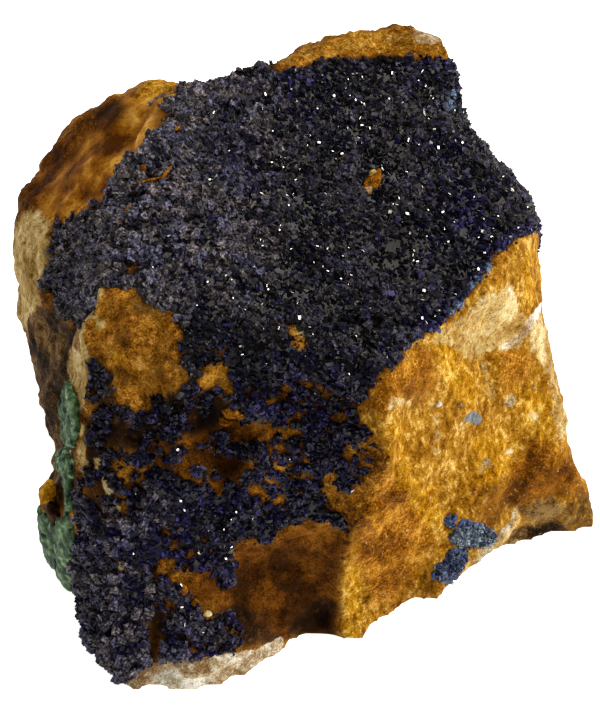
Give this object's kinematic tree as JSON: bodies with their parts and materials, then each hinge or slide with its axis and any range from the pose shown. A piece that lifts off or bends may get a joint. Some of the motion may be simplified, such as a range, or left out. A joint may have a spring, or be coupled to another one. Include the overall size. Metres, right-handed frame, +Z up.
{
  "type": "azurite specimen",
  "caption": "Blocky hand specimen of iron-stained quartz with a dark blue drusy azurite crust over its top and front, a small azurite cluster and a green malachite crust.",
  "frame": {"origin": "centre of the footprint, on the flat base", "axes": "+Z up, -Y towards the side with the crust running down it, +X to the right of that side"},
  "size_m": [0.0604, 0.0592, 0.0384],
  "materials": {
    "limonite_quartz": "earthy ochre limonite over pale quartz, broken and granular",
    "azurite_druse": "very dark blue drusy crystals with bright glints",
    "azurite_rosette": "blue crystals with pale tips",
    "malachite": "dull pale green crust"
  },
  "bodies": {
    "root": {"matrix_stone": "limonite_quartz", "azurite_crust": "azurite_druse", "azurite_cluster": "azurite_rosette", "malachite_crust": "malachite"}
  },
  "joints": []
}
